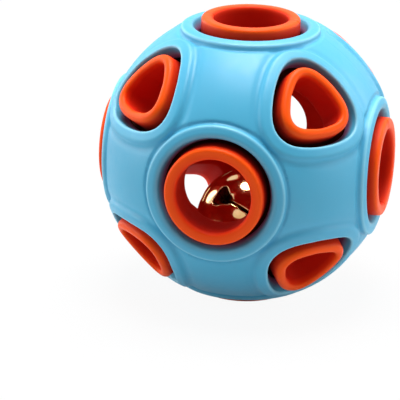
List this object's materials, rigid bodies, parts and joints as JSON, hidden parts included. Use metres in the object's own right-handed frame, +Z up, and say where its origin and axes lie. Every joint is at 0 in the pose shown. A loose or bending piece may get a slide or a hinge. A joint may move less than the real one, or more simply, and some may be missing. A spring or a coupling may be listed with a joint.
{
  "type": "treat dispensing ball",
  "caption": "Two-layer rubber treat ball with round and three-sided ports, raised bands, collared inner ball and a loose jingle bell.",
  "frame": {"origin": "centre of the ball", "axes": "+Z up through a round port, -Y through the round port at the front, where the viewer of the picture stands, and +X through the round port on the viewer's right; the ball stands on the rim of the bottom round collar"},
  "size_m": [0.0716, 0.0716, 0.0716],
  "materials": {
    "shell_rubber": "matte",
    "inner_rubber": "satin",
    "bell_brass": "polished",
    "pellet_steel": "satin"
  },
  "bodies": {
    "root": {"outer_shell_front": "shell_rubber", "outer_shell_back": "shell_rubber", "inner_ball_front": "inner_rubber", "inner_ball_back": "inner_rubber"},
    "bell": {"bell_slit_half": "bell_brass", "bell_loop_half": "bell_brass", "bell_loop": "bell_brass"},
    "pellet": {"bell_pellet": "pellet_steel"}
  },
  "joints": [
    {"name": "bell_bounce", "type": "slide", "parent": "root", "child": "bell", "axis": [0, 0, 1], "range_m": [0, 0.0347]},
    {"name": "pellet_roll", "type": "hinge", "parent": "bell", "child": "pellet", "pos_m": [0, 0, -0.01735], "axis": [1, 0, 0], "continuous": true}
  ]
}
